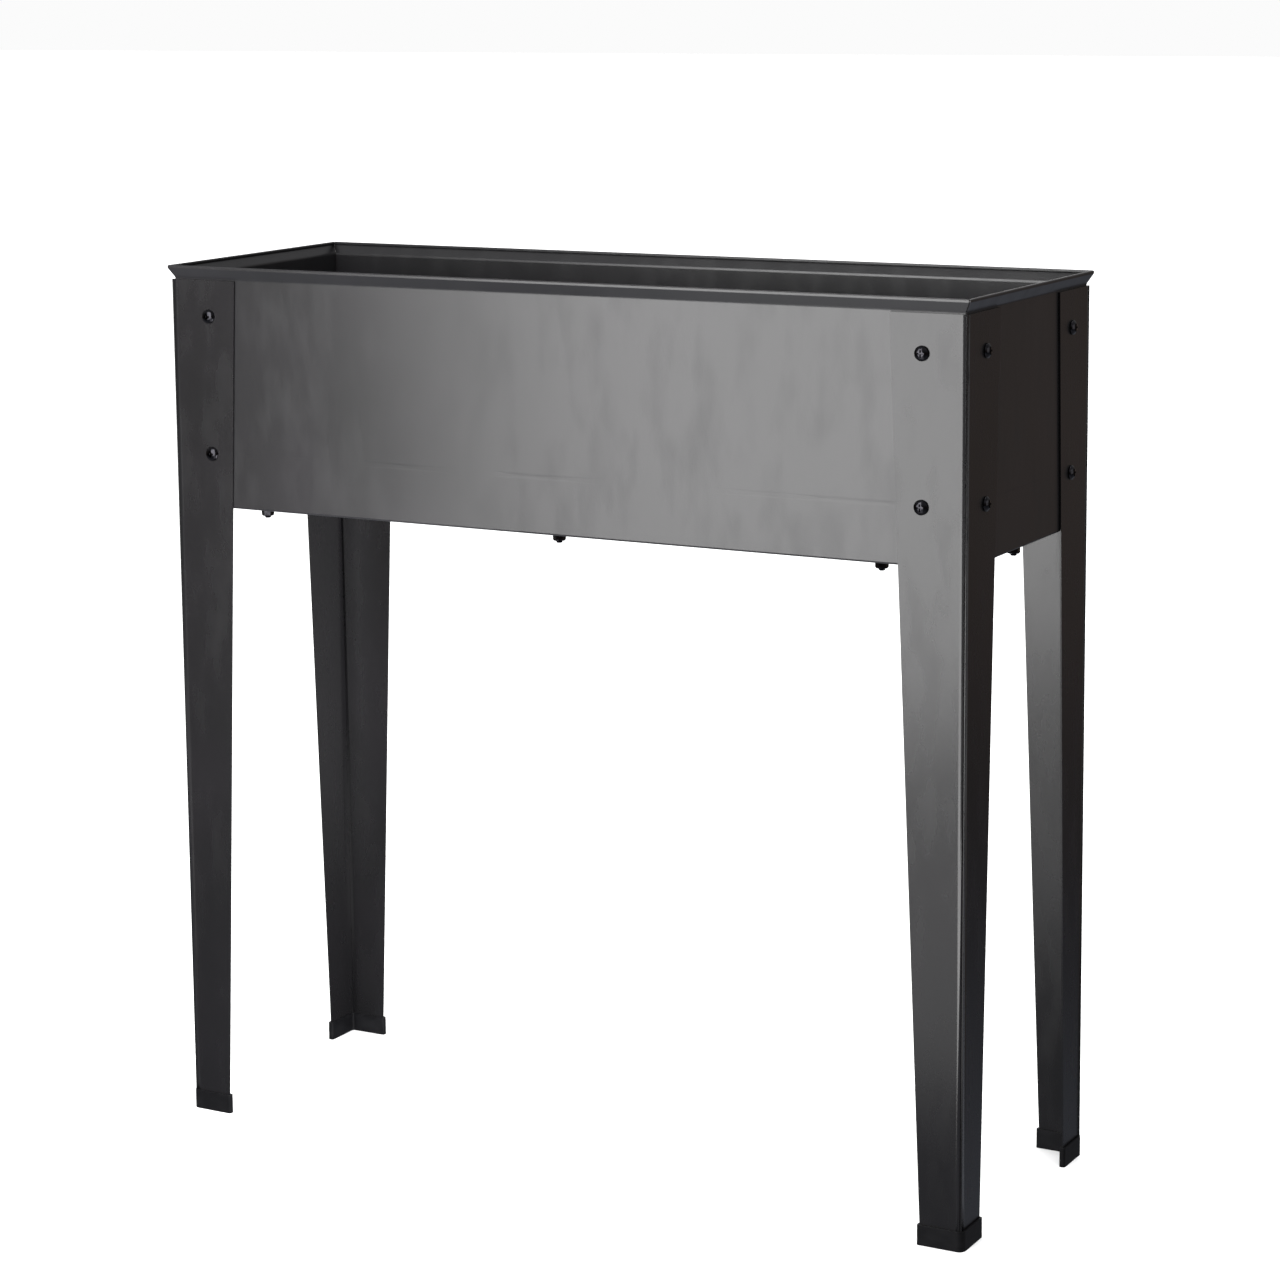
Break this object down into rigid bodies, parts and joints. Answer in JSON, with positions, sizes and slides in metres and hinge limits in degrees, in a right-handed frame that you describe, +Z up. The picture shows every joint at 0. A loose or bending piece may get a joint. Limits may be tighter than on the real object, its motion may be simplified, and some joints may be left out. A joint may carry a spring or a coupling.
{
  "type": "raised planter on legs",
  "caption": "Slim rectangular sheet-steel trough with a flared rim, held waist-high on tapered angle legs with plastic foot caps.",
  "frame": {"origin": "on the ground, under the middle of the trough", "axes": "+X along the trough towards its right end, -Y out of the long front face, +Z up"},
  "size_m": [0.7974, 0.2774, 0.806],
  "materials": {
    "coated_sheet": "satin fine-texture powder coat, anthracite, on 1 to 1.5 mm steel sheet",
    "foot_cap": "matt black moulded polyethylene",
    "screw": "black zinc-plated, slightly glossy",
    "nut": "bright zinc-plated"
  },
  "bodies": {
    "root": {"front_panel": "coated_sheet", "rear_panel": "coated_sheet", "left_end_panel": "coated_sheet", "right_end_panel": "coated_sheet", "floor_panel": "coated_sheet", "leg_front_left": "coated_sheet", "leg_front_right": "coated_sheet", "leg_rear_right": "coated_sheet", "leg_rear_left": "coated_sheet", "foot_cap_front_left": "foot_cap", "foot_cap_front_right": "foot_cap", "foot_cap_rear_right": "foot_cap", "foot_cap_rear_left": "foot_cap", "leg_screw_front_left_front_upper": "screw", "leg_nut_front_left_front_upper": "nut", "leg_screw_front_left_front_lower": "screw", "leg_nut_front_left_front_lower": "nut", "leg_screw_front_left_end_upper": "screw", "leg_nut_front_left_end_upper": "nut", "leg_screw_front_left_end_lower": "screw", "leg_nut_front_left_end_lower": "nut", "leg_screw_front_right_end_upper": "screw", "leg_nut_front_right_end_upper": "nut", "leg_screw_front_right_end_lower": "screw", "leg_nut_front_right_end_lower": "nut", "leg_screw_front_right_front_upper": "screw", "leg_nut_front_right_front_upper": "nut", "leg_screw_front_right_front_lower": "screw", "leg_nut_front_right_front_lower": "nut", "leg_screw_rear_right_rear_upper": "screw", "leg_nut_rear_right_rear_upper": "nut", "leg_screw_rear_right_rear_lower": "screw", "leg_nut_rear_right_rear_lower": "nut", "leg_screw_rear_right_end_upper": "screw", "leg_nut_rear_right_end_upper": "nut", "leg_screw_rear_right_end_lower": "screw", "leg_nut_rear_right_end_lower": "nut", "leg_screw_rear_left_end_upper": "screw", "leg_nut_rear_left_end_upper": "nut", "leg_screw_rear_left_end_lower": "screw", "leg_nut_rear_left_end_lower": "nut", "leg_screw_rear_left_rear_upper": "screw", "leg_nut_rear_left_rear_upper": "nut", "leg_screw_rear_left_rear_lower": "screw", "leg_nut_rear_left_rear_lower": "nut", "floor_screw_front_left": "screw", "floor_screw_front_middle": "screw", "floor_screw_front_right": "screw", "floor_screw_rear_left": "screw", "floor_screw_rear_middle": "screw", "floor_screw_rear_right": "screw", "floor_screw_left_end": "screw", "floor_screw_right_end": "screw"}
  },
  "joints": []
}
